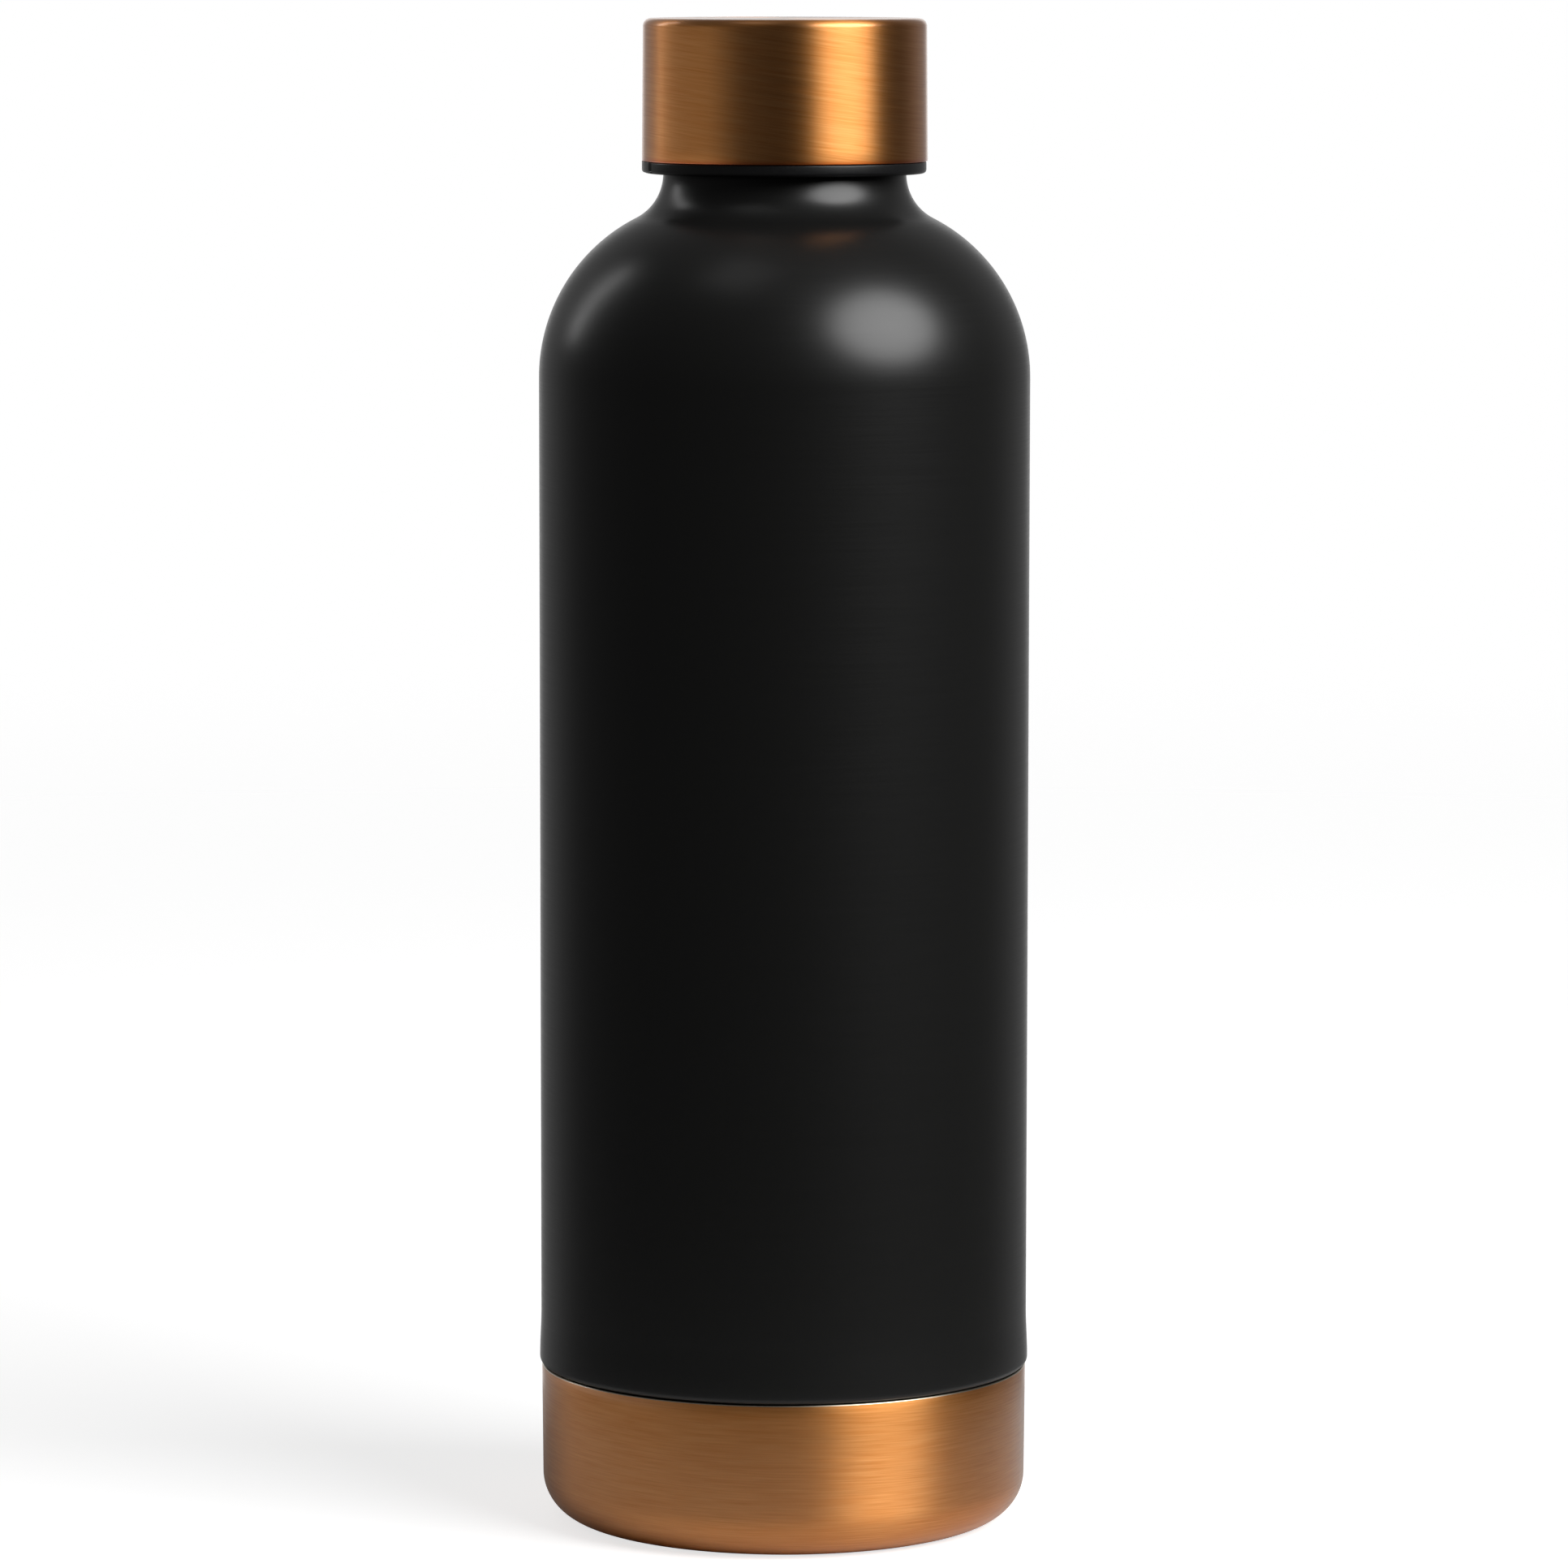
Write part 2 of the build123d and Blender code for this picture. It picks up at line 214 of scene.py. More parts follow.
shell_outline = (
    arc(corner_centre, SKIRT_CORNER, -90, 0)
    + [(SKIRT_RADIUS, shell_edge - STEP_ROUND)]
    + arc((SKIRT_RADIUS + STEP_ROUND, shell_edge - STEP_ROUND), STEP_ROUND, 180, 90, 4)[1:]
    + arc(round_centre, EDGE_ROUND, -90, 0, 10)
    + [swell(k / SWELL_STEPS) for k in range(1, SWELL_STEPS + 1)]
    + rungs((BODY_RADIUS, SWELL_TOP), (BODY_RADIUS, STRAIGHT_TOP), 16)[1:]
    + shoulder(
        BODY_RADIUS, STRAIGHT_TOP, SHOULDER_ARC, NECK_FILLET, NECK_RADIUS, RIM_BOTTOM, NECK_LEAN
    )[1:]
    + [(WELD_LAND_RADIUS, WELD_LAND_BOTTOM), (WELD_LAND_RADIUS, WELD_LAND_TOP)]
)
black_shell = turn("black_shell", shell_outline)
wall(black_shell, SHEET)
seat(black_shell, "bottle", "black_coat", "outer_shell")

# %% [markdown]
# ## The base cup and the lid sleeve
# Both are drawn from thin stainless sheet, coloured copper and brushed on a lathe, so their
# scratches run round them. The cup has a soft lower corner, a flat foot ring and a recess. The
# sleeve leans in slightly towards its flat top. Their cut edges are broken, as a deburred edge is,
# and that, with a painted highlight on the cup's lip, gives the thin bright line above the cup.

# %% Base cup
CUP_TOP_RADIUS, CUP_LOW_RADIUS, CUP_CORNER = 35.41, 35.27, 6.6
FOOT_INNER, FOOT_RECESS, FOOT_LAND, FOOT_ROUND = 25.0, 1.4, 0.4, 0.6
CUP_EDGE_BREAK, SLEEVE_EDGE_BREAK = 0.13, 0.12
cup_edge = SEAM_HEIGHT - SEAM_GAP / 2
recess_edge = FOOT_INNER - FOOT_RECESS - FOOT_LAND
foot_start = FOOT_INNER + FOOT_LAND
corner_start = CUP_LOW_RADIUS - CUP_CORNER

cup_outline = (
    rungs((0, FOOT_RECESS), (recess_edge, FOOT_RECESS), 10)
    + arc((recess_edge, FOOT_RECESS - FOOT_ROUND), FOOT_ROUND, 90, 45, 3)[1:]
    + arc((foot_start, FOOT_ROUND), FOOT_ROUND, 225, 270, 3)
    + rungs((foot_start, 0), (corner_start, 0), 3)[1:]
    + arc((corner_start, CUP_CORNER), CUP_CORNER, -90, 0, 20)[1:]
    + rungs((CUP_LOW_RADIUS, CUP_CORNER), (CUP_TOP_RADIUS, cup_edge), 8)[1:]
)
base_cup = turn("copper_base_cup", cup_outline)
wall(base_cup, SHEET)
break_edges(base_cup, CUP_EDGE_BREAK, segments=3)
seat(base_cup, "bottle", "copper_steel", "base_cup")

# %% Lid sleeve
SLEEVE_BOTTOM, SLEEVE_TOP = 198.15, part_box("cap_sleeve")[1].z / MM
SLEEVE_LOW_RADIUS, SLEEVE_TOP_RADIUS, SLEEVE_CORNER = 20.6, 20.45, 1.15

plate_radius = SLEEVE_TOP_RADIUS - SLEEVE_CORNER
side_top = SLEEVE_TOP - SLEEVE_CORNER
sleeve_outline = (
    rungs((SLEEVE_LOW_RADIUS, SLEEVE_BOTTOM), (SLEEVE_TOP_RADIUS, side_top), 10)
    + arc((plate_radius, side_top), SLEEVE_CORNER, 0, 90, 14)[1:]
    + rungs((plate_radius, SLEEVE_TOP), (0, SLEEVE_TOP), 12)[1:]
)
lid_sleeve = turn("copper_lid_sleeve", sleeve_outline)
wall(lid_sleeve, SHEET)
break_edges(lid_sleeve, SLEEVE_EDGE_BREAK, segments=3)
seat(lid_sleeve, "lid", "copper_steel", "cap_sleeve")

# %% [markdown]
# ## Screw threads
# The neck's thread is rolled into thin sheet and the lid's is moulded, so both have soft
# flanks and fade out at their ends. A turned mesh with closely spaced rings is pushed out, or
# in, where the ridge passes. How far depends only on the angle and the height, which a formula
# gives more exactly than an operator could. The ridge is ROOT_HALF wide to each side at its
# root and CREST_HALF at its crest.

# %% Raise a thread on a turned piece
PITCH = 5.0
ROOT_HALF, CREST_HALF = 1.3, 0.55
RUNOUT_TURNS = 0.13
ON_SURFACE = 0.02


def ease(x):
    """Smooth step from 0 to 1."""
    x = min(1.0, max(0.0, x))
    return x * x * (3 - 2 * x)


def raise_thread(piece, surface_radius, ridge, start, lead, turns):
    """Push the surface at surface_radius by ridge millimetres along a right-hand helix.

    The helix starts start millimetres high, at the angle lead in degrees.
    """
    moved = 0
    for vertex in piece.data.vertices:
        x, y, z = (value / MM for value in vertex.co)
        radius = hypot(x, y)
        if abs(radius - surface_radius) > ON_SURFACE:
            continue
        angle = (degrees(atan2(y, x)) - lead) % 360
        push = 0.0
        for lap in range(int(turns) + 1):
            turned = angle / 360 + lap
            if turned > turns:
                continue
            beside = abs(z - start - PITCH * turned)
            flank = ease((ROOT_HALF - beside) / (ROOT_HALF - CREST_HALF))
            fade = ease(min(turned, turns - turned) / RUNOUT_TURNS)
            push = max(push, flank * fade)
        if push > 0:
            scale = (radius + ridge * push) / radius
            vertex.co.x *= scale
            vertex.co.y *= scale
            moved += 1
    print(f"{piece.name}: {moved} points moved for the thread")


# %% [markdown]
# ## The inner flask
# The flask is bare stainless steel: a tube with a shoulder, a neck that carries the rolled
# thread, and a lip hemmed inwards so that no cut edge meets a mouth. The thread is pushed out
# before the wall is added, so the inside of the neck shows the same ridge as a groove.

# %% Inner flask and its bottom
VACUUM_GAP = 3.2
FLASK_RADIUS = BODY_RADIUS - SHEET - VACUUM_GAP
FLASK_ARC = SHOULDER_ARC - SHEET - VACUUM_GAP
FLASK_FILLET, FLASK_NECK, FLASK_NECK_BOTTOM = 5.0, 16.75, 199.2
NECK_RUNGS_FROM, NECK_RUNGS = 199.0, 126
LIP_TOP, HEM, HEM_TAIL = 212.2, 0.6, 0.8
FLASK_FLOOR, FLASK_CORNER, FLASK_PUNT, PUNT_STEPS = 9.0, 8.0, 2.0, 12
THREAD_START, THREAD_TURNS = 201.9, 1.5
NECK_RIDGE, LID_RIDGE = 1.2, -1.3
flask_weld = FLASK_FLOOR + FLASK_CORNER
hem_centre = LIP_TOP - HEM

flask_outline = (
    rungs((FLASK_RADIUS, flask_weld), (FLASK_RADIUS, STRAIGHT_TOP), 12)
    + shoulder(
        FLASK_RADIUS, STRAIGHT_TOP, FLASK_ARC, FLASK_FILLET, FLASK_NECK, FLASK_NECK_BOTTOM
    )[1:]
    + rungs((FLASK_NECK, NECK_RUNGS_FROM), (FLASK_NECK, hem_centre), NECK_RUNGS)
    + arc((FLASK_NECK - HEM, hem_centre), HEM, 0, 180, 14)[1:]
    + [(FLASK_NECK - 2 * HEM, hem_centre - HEM_TAIL)]
)
steel_flask = turn("steel_flask", flask_outline)
raise_thread(steel_flask, FLASK_NECK, NECK_RIDGE, THREAD_START, 0, THREAD_TURNS)
wall(steel_flask, SHEET)
seat(steel_flask, "bottle", "bare_steel", "inner_flask")

flask_middle = FLASK_RADIUS - FLASK_CORNER
punt = [
    (flask_middle * k / PUNT_STEPS, FLASK_FLOOR + FLASK_PUNT * (1 - (k / PUNT_STEPS) ** 2))
    for k in range(PUNT_STEPS)
]
bottom_outline = punt + arc((flask_middle, flask_weld), FLASK_CORNER, -90, 0, 16)
flask_floor = turn("steel_flask_bottom", bottom_outline)
wall(flask_floor, SHEET)
seat(flask_floor, "bottle", "bare_steel", "flask_bottom")

# %% [markdown]
# ## The lid moulding
# Under the sleeve is one black polypropylene moulding: a skirt with the thread inside, a top
# plate, and a rim band that shows below the sleeve. The band is set back a little from the
# sleeve and has a bevelled upper edge, except at a raised key that fills the step over 40
# degrees and stops the sleeve turning. The outline is closed from the axis back to the axis.

# %% Lid moulding
LID_OUTER, LID_BORE = 19.9, 18.4
RIM_TOP, RIM_RADIUS, RIM_ROUND, RIM_BEVEL = 198.1, 20.42, 0.55, 0.22
KEY_RADIUS, KEY_MIDDLE, KEY_SPREAD = 20.6, 180.0, 40.0
LID_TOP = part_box("lid_body")[1].z / MM
LID_PLATE, LID_TOP_ROUND, BORE_ROUND = 1.8, 1.2, 0.3
LID_CEILING = LID_TOP - LID_PLATE
LID_THREAD_LEAD, LID_THREAD_DROP = 151.2, 2.1
LID_STEPS, BORE_RUNGS = 360, 90

lid_outline = (
    rungs((0, LID_CEILING), (LID_BORE, LID_CEILING), 8)
    + rungs((LID_BORE, LID_CEILING), (LID_BORE, RIM_BOTTOM + BORE_ROUND), BORE_RUNGS)[1:]
    + arc((LID_BORE + BORE_ROUND, RIM_BOTTOM + BORE_ROUND), BORE_ROUND, 180, 270, 4)[1:]
    + arc((RIM_RADIUS - RIM_ROUND, RIM_BOTTOM + RIM_ROUND), RIM_ROUND, -90, 0, 8)
    + arc((RIM_RADIUS - RIM_BEVEL, RIM_TOP - RIM_BEVEL), RIM_BEVEL, 0, 90, 4)
    + [(LID_OUTER, RIM_TOP), (LID_OUTER, LID_TOP - LID_TOP_ROUND)]
    + arc((LID_OUTER - LID_TOP_ROUND, LID_TOP - LID_TOP_ROUND), LID_TOP_ROUND, 0, 90, 8)[1:]
    + [(0, LID_TOP)]
)
lid_moulding = turn("lid_moulding", lid_outline, LID_STEPS)
thread_height = THREAD_START - LID_THREAD_DROP + PITCH * LID_THREAD_LEAD / 360
raise_thread(lid_moulding, LID_BORE, LID_RIDGE, thread_height, LID_THREAD_LEAD, THREAD_TURNS)

# %% Raise the key on the rim band
KEY_DROP, NEARLY = 0.02, 0.01
key_depth = KEY_RADIUS - RIM_RADIUS
bevel_foot = RIM_TOP - RIM_BEVEL
inside_band = RIM_RADIUS - RIM_BEVEL - 2 * NEARLY
for vertex in lid_moulding.data.vertices:
    x, y, z = (value / MM for value in vertex.co)
    radius = hypot(x, y)
    from_middle = abs((degrees(atan2(y, x)) - KEY_MIDDLE + 180) % 360 - 180)
    if from_middle > KEY_SPREAD / 2 or radius < inside_band or z > RIM_TOP + NEARLY:
        continue
    if z > bevel_foot - NEARLY:
        target = KEY_RADIUS
        if z > bevel_foot + NEARLY:
            vertex.co.z = max(vertex.co.z, (RIM_TOP - KEY_DROP) * MM)
    else:
        target = radius + key_depth * ease((radius - RIM_RADIUS + RIM_ROUND) / RIM_ROUND)
    vertex.co.x *= target / radius
    vertex.co.y *= target / radius
seat(lid_moulding, "lid", "black_plastic", "lid_body")

# %% [markdown]
# ## Plug and sealing ring
# The plug is a second moulding, welded under the lid's top plate. It holds the insulating foam
# and reaches into the mouth. Its underside shows a shallow ring where the mould's ejector sleeve
# pressed and a small gate mark in the middle. The silicone ring sits above a small bead, which
# keeps it from dropping off, and has two lips that press on the hemmed edge.

# %% Plug
PLUG_RADIUS, PLUG_BOTTOM, PLUG_CORNER, PLUG_WALL = 14.4, 208.2, 1.5, 1.2
FLANGE_RADIUS, FLANGE_BOTTOM = 18.3, LID_CEILING - 1.5
BEAD_RADIUS, BEAD_TOP, BEAD_ROUND = 14.9, LIP_TOP - 0.6, 0.2
GATE_FLAT, GATE_SIDE, GATE_EDGE, GATE_DEPTH = 1.1, 1.4, 1.6, 0.25
EJECTOR_INNER, EJECTOR_OUTER, EJECTOR_DEPTH = 8.6, 10.8, 0.2
gate_floor = PLUG_BOTTOM + GATE_DEPTH
ejector_floor = PLUG_BOTTOM + EJECTOR_DEPTH

plug_outline = (
    [(0, gate_floor), (GATE_FLAT, gate_floor), (GATE_SIDE, PLUG_BOTTOM + 0.05)]
    + [(GATE_EDGE, PLUG_BOTTOM), (EJECTOR_INNER, PLUG_BOTTOM)]
    + [(EJECTOR_INNER + EJECTOR_DEPTH, ejector_floor)]
    + [(EJECTOR_OUTER - EJECTOR_DEPTH, ejector_floor), (EJECTOR_OUTER, PLUG_BOTTOM)]
    + arc((PLUG_RADIUS - PLUG_CORNER, PLUG_BOTTOM + PLUG_CORNER), PLUG_CORNER, -90, 0, 12)
    + [(PLUG_RADIUS, BEAD_TOP - 1.4), (BEAD_RADIUS - 0.1, BEAD_TOP - 0.75)]
    + arc((BEAD_RADIUS - BEAD_ROUND, BEAD_TOP - 0.5), BEAD_ROUND, -30, 0, 3)
    + arc((BEAD_RADIUS - BEAD_ROUND, BEAD_TOP - BEAD_ROUND), BEAD_ROUND, 0, 90, 3)
    + [(PLUG_RADIUS, BEAD_TOP), (PLUG_RADIUS, FLANGE_BOTTOM)]
    + [(FLANGE_RADIUS - 0.2, FLANGE_BOTTOM), (FLANGE_RADIUS, FLANGE_BOTTOM + 0.2)]
    + [(FLANGE_RADIUS, LID_CEILING), (PLUG_RADIUS - PLUG_WALL, LID_CEILING)]
    + [(PLUG_RADIUS - PLUG_WALL, PLUG_BOTTOM + PLUG_WALL), (0, PLUG_BOTTOM + PLUG_WALL)]
)
plug = turn("stopper_plug", plug_outline)
seat(plug, "lid", "plug_plastic", "lid_plug")

# %% Sealing ring
RING_LOW, RING_HIGH = (corner.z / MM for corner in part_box("lid_gasket"))
RING_INNER, RING_OUTER, RING_ROUND, RING_CHAMFER = 14.5, 17.9, 0.5, 0.25
RING_LIP_ASIDE, RING_LIP = 0.7, 0.3
lip_line = FLASK_NECK - HEM

ring_outline = (
    [(RING_INNER, RING_LOW + 0.3), (RING_INNER, RING_HIGH - RING_CHAMFER)]
    + [(RING_INNER + RING_CHAMFER, RING_HIGH)]
    + arc((RING_OUTER - RING_ROUND, RING_HIGH - RING_ROUND), RING_ROUND, 90, 0, 6)
    + arc((RING_OUTER - RING_ROUND, RING_LOW + RING_ROUND), RING_ROUND, 0, -90, 6)
    + arc((lip_line + RING_LIP_ASIDE, RING_LOW), RING_LIP, 0, 180, 6)
    + arc((lip_line - RING_LIP_ASIDE, RING_LOW), RING_LIP, 0, 180, 6)
    + [(RING_INNER + RING_CHAMFER, RING_LOW), (RING_INNER, RING_LOW + 0.3)]
)
ring = turn("silicone_ring", ring_outline)
seat(ring, "seal", "silicone", "lid_gasket")

# %% [markdown]
# ## Making materials
# Each finish is a small node network. One function adds a node, sets its properties and fills
# its sockets, either with a value or with another node's output. Colours are written as the
# hex values that a paint chart would give, and one function turns them into linear light.

# %% Node and colour helpers
def linear(hex_colour):
    """Linear RGBA of an sRGB hex colour."""
    channels = [int(hex_colour[k : k + 2], 16) / 255 for k in (1, 3, 5)]
    return [c / 12.92 if c <= 0.04045 else ((c + 0.055) / 1.055) ** 2.4 for c in channels] + [1.0]


def add_node(tree, kind, properties=None, sockets=None):
    """Add a node. sockets maps an input's name or number to a value or to an output."""
    node = tree.nodes.new("ShaderNode" + kind)
    for name, value in (properties or {}).items():
        setattr(node, name, value)
    for name, value in (sockets or {}).items():
        if isinstance(value, bpy.types.NodeSocket):
            tree.links.new(value, node.inputs[name])
        else:
            node.inputs[name].default_value = value
    return node


def new_finish(name):
    """Empty material and its node tree."""
    material = bpy.data.materials.new(name)
    material.use_nodes = True
    material.node_tree.nodes.clear()
    return material, material.node_tree


def close_finish(tree, shader):
    """Join a shader to the material's output."""
    add_node(tree, "OutputMaterial", None, {"Surface": shader.outputs[0]})


# %% [markdown]
# Marks left on a lathe run round the axis. So the brushing is noise stretched round the bottle:
# its first two coordinates are the direction from the axis, which changes slowly, and its third
# is the distance along the surface, which changes fast. That distance is the height less the
# radius where a piece narrows upwards, and the height plus the radius where it widens. A brush
# held slightly askew leaves marks that climb a little from one side to the other, which is what
# slant gives. The direction turned by a quarter gives the tangent that the shader needs to smear
# a reflection across the scratches.

# %% Coordinates for lathe marks
def lathe_marks(tree, line_width, line_length, at_radius, slant=0.0, widens_upwards=False):
    """Outputs of a stretched noise coordinate and of the tangent that runs round the axis.

    line_width and line_length are those of a mark, in millimetres. widens_upwards is for a
    piece whose corner grows wider with height, as a cup's does.
    """
    place = add_node(tree, "TexCoord").outputs["Object"]
    split = add_node(tree, "SeparateXYZ", None, {0: place})
    tilted = add_node(
        tree,
        "Math",
        {"operation": "MULTIPLY_ADD"},
        {0: split.outputs["X"], 1: slant, 2: split.outputs["Z"]},
    )
    flat = add_node(tree, "VectorMath", {"operation": "MULTIPLY"}, {0: place, 1: (1, 1, 0)})
    outward = add_node(tree, "VectorMath", {"operation": "NORMALIZE"}, {0: flat.outputs[0]})
    radius = add_node(tree, "VectorMath", {"operation": "LENGTH"}, {0: flat.outputs[0]})
    follow = "ADD" if widens_upwards else "SUBTRACT"
    travel = add_node(
        tree, "Math", {"operation": follow}, {0: tilted.outputs[0], 1: radius.outputs["Value"]}
    )
    lines = add_node(
        tree,
        "Math",
        {"operation": "MULTIPLY"},
        {0: travel.outputs[0], 1: 1 / (line_width * MM)},
    )
    upright = add_node(tree, "CombineXYZ", None, {"Z": lines.outputs[0]})
    around = add_node(
        tree,
        "VectorMath",
        {"operation": "SCALE"},
        {0: outward.outputs[0], "Scale": at_radius / line_length},
    )
    stretched = add_node(
        tree, "VectorMath", {"operation": "ADD"}, {0: around.outputs[0], 1: upright.outputs[0]}
    )
    tangent = add_node(
        tree, "VectorMath", {"operation": "CROSS_PRODUCT"}, {0: (0, 0, 1), 1: outward.outputs[0]}
    )
    return stretched.outputs[0], tangent.outputs[0]


# %% [markdown]
# ## Brushed copper-coloured steel
# The sleeve and the cup are stainless steel, brushed with a fine abrasive belt while they turn
# and then given a thin transparent copper-coloured lacquer. The eye sees a warm metal with
# bright and dark upright bands, because the scratches smear every reflection up and down but
# hardly sideways, and faint level lines inside the bands. The lacquer is a smooth clear layer on
# top: seen edge-on it mirrors the white surroundings, so the outline of the metal turns grey.
# Two narrow edges have light painted into their colour. The cup's lip, a bare cut edge, is painted
# near-white, brighter than steel: a painted highlight. The sleeve's lower edge is painted a deeper,
# redder copper: a painted reflection of the copper in itself.

# %% Copper-coloured steel
# Width and length of a mark, in millimetres.
COPPER_HAIRLINE, COPPER_BAND = (0.18, 8), (0.7, 14)


def copper_finish(name, at_radius, slant, widens_upwards, edge_from, edge_to, painted_edge_light):
    """Lacquered brushed steel. From edge_from to edge_to mm high it turns to a flat colour of
    painted light.
    """
    material, tree = new_finish(name)
    fine, tangent = lathe_marks(tree, *COPPER_HAIRLINE, at_radius, slant, widens_upwards)
    broad, _ = lathe_marks(tree, *COPPER_BAND, at_radius, slant, widens_upwards)
    hairlines = add_node(tree, "TexNoise", None, {"Vector": fine, "Scale": 1.0, "Detail": 3.0})
    bands = add_node(tree, "TexNoise", None, {"Vector": broad, "Scale": 1.0, "Detail": 2.0})
    streaks = add_node(
        tree,
        "MapRange",
        None,
        {"Value": hairlines.outputs["Fac"], "From Min": 0.25, "From Max": 0.75},
    )
    lacquer = add_node(
        tree,
        "MixRGB",
        None,
        {"Fac": streaks.outputs[0], "Color1": linear("#E28F44"), "Color2": linear("#F6AD66")},
    )
    place = add_node(tree, "TexCoord").outputs["Object"]
    height = add_node(tree, "SeparateXYZ", None, {0: place}).outputs["Z"]
    # Painted light: the narrow band between edge_from and edge_to takes the flat edge colour.
    painted_edge_band = add_node(
        tree,
        "MapRange",
        {"interpolation_type": "SMOOTHSTEP"},
        {"Value": height, "From Min": edge_from * MM, "From Max": edge_to * MM},
    )
    colour = add_node(
        tree,
        "MixRGB",
        None,
        {"Fac": painted_edge_band.outputs[0], "Color1": lacquer.outputs[0], "Color2": linear(painted_edge_light)},
    )
    roughness = add_node(
        tree,
        "MapRange",
        None,
        {
            "Value": bands.outputs["Fac"],
            "From Min": 0.3,
            "From Max": 0.7,
            "To Min": 0.39,
            "To Max": 0.43,
        },
    )
    bump = add_node(
        tree,
        "Bump",
        None,
        {"Strength": 0.5, "Distance": 0.006 * MM, "Height": hairlines.outputs["Fac"]},
    )
    shader = add_node(
        tree,
        "BsdfPrincipled",
        None,
        {
            "Base Color": colour.outputs[0],
            "Metallic": 1.0,
            "Roughness": roughness.outputs[0],
            "Anisotropic": 0.85,
            "Anisotropic Rotation": 0.25,
            "Tangent": tangent,
            "Normal": bump.outputs[0],
            "Coat Weight": 1.0,
            "Coat Roughness": 0.22,
            "Coat IOR": 1.5,
        },
    )
    close_finish(tree, shader)
    return material


copper_on_sleeve = copper_finish(
    "lacquered_copper_sleeve",
    at_radius=SLEEVE_LOW_RADIUS,
    slant=0.14,
    widens_upwards=False,
    # The sleeve's lowest 0.75 mm is painted a deeper, redder copper: a painted reflection.
    edge_from=198.9,
    edge_to=SLEEVE_BOTTOM,
    painted_edge_light="#D96E2C",
)
copper_on_cup = copper_finish(
    "lacquered_copper_cup",
    at_radius=CUP_TOP_RADIUS,
    slant=0.02,
    widens_upwards=True,
    # The cup's lip, its top tenth of a millimetre, is painted near-white: a painted highlight.
    edge_from=cup_edge - 0.14,
    edge_to=cup_edge - 0.1,
    painted_edge_light="#FBEFD8",
)

# %% [markdown]
# ## Black coat
# The shell was brushed round on a lathe and then sprayed with a thin satin black. The coat
# levels nearly all of the scratches. What the eye sees is a soft sheen with the very fine grain
# of the sprayed coat, and only a trace of the level lines under it.

# %% Satin black coat
BLACK_HAIRLINE, SPRAY_GRAIN = (0.18, 14), 0.25


def black_coat_finish():
    """Thin satin black lacquer over lathe-brushed steel."""
    material, tree = new_finish("satin_black_lacquer")
    fine, _ = lathe_marks(tree, *BLACK_HAIRLINE, BODY_RADIUS)
    hairlines = add_node(tree, "TexNoise", None, {"Vector": fine, "Scale": 1.0, "Detail": 2.0})
    place = add_node(tree, "TexCoord").outputs["Object"]
    grain = add_node(
        tree, "TexNoise", None, {"Vector": place, "Scale": 1 / (SPRAY_GRAIN * MM), "Detail": 1.0}
    )
    relief = add_node(
        tree,
        "Math",
        {"operation": "MULTIPLY_ADD"},
        {0: hairlines.outputs["Fac"], 1: 0.4, 2: grain.outputs["Fac"]},
    )
    bump = add_node(
        tree,
        "Bump",
        None,
        {"Strength": 0.5, "Distance": 0.003 * MM, "Height": relief.outputs[0]},
    )
    colour = add_node(
        tree,
        "MixRGB",
        None,
        {"Fac": grain.outputs["Fac"], "Color1": linear("#191919"), "Color2": linear("#1D1D1C")},
    )
    roughness = add_node(
        tree,
        "MapRange",
        None,
        {
            "Value": hairlines.outputs["Fac"],
            "From Min": 0.3,
            "From Max": 0.7,
            "To Min": 0.29,
            "To Max": 0.32,
        },
    )
    shader = add_node(
        tree,
        "BsdfPrincipled",
        None,
        {
            "Base Color": colour.outputs[0],
            "Roughness": roughness.outputs[0],
            "IOR": 1.5,
            "Normal": bump.outputs[0],
        },
    )
    close_finish(tree, shader)
    return material


black_coat = black_coat_finish()

# %% [markdown]
# ## Bare stainless steel
# Inside, the flask is plain stainless steel, electropolished after it was formed. That leaves
# it pale grey and satin and not mirror-bright, with soft rings from forming that smear a
# reflection up and down. The pieces sealed in the vacuum space are the same sheet.

# %% Stainless steel
FORMING_RING = (0.5, 40)


def steel_finish():
    """Electropolished stainless steel with soft forming rings."""
    material, tree = new_finish("electropolished_stainless")
    rings, tangent = lathe_marks(tree, *FORMING_RING, FLASK_RADIUS)
    marks = add_node(tree, "TexNoise", None, {"Vector": rings, "Scale": 1.0, "Detail": 3.0})
    colour = add_node(
        tree,
        "MixRGB",
        None,
        {"Fac": marks.outputs["Fac"], "Color1": linear("#B4B2AE"), "Color2": linear("#CFCDC9")},
    )
    roughness = add_node(
        tree,
        "MapRange",
        None,
        {
            "Value": marks.outputs["Fac"],
            "From Min": 0.3,
            "From Max": 0.7,
            "To Min": 0.3,
            "To Max": 0.36,
        },
    )
    bump = add_node(
        tree,
        "Bump",
        None,
        {"Strength": 0.4, "Distance": 0.004 * MM, "Height": marks.outputs["Fac"]},
    )
    shader = add_node(
        tree,
        "BsdfPrincipled",
        None,
        {
            "Base Color": colour.outputs[0],
            "Metallic": 1.0,
            "Roughness": roughness.outputs[0],
            "Anisotropic": 0.8,
            "Anisotropic Rotation": 0.25,
            "Tangent": tangent,
            "Normal": bump.outputs[0],
        },
    )
    close_finish(tree, shader)
    return material


steel = steel_finish()

# %% [markdown]
# ## Moulded and soft materials
# The lid is moulded polypropylene with a fine spark-eroded texture, the ring is translucent
# silicone, and inside are foam, adhesive, solder glass and a pressed getter. They differ in
# colour, in how rough they are and in the size of their grain, so one recipe makes them all.

# %% One recipe for grained materials
GLOW_DEPTH, ROUGHNESS_SPREAD = 1.5, 0.04


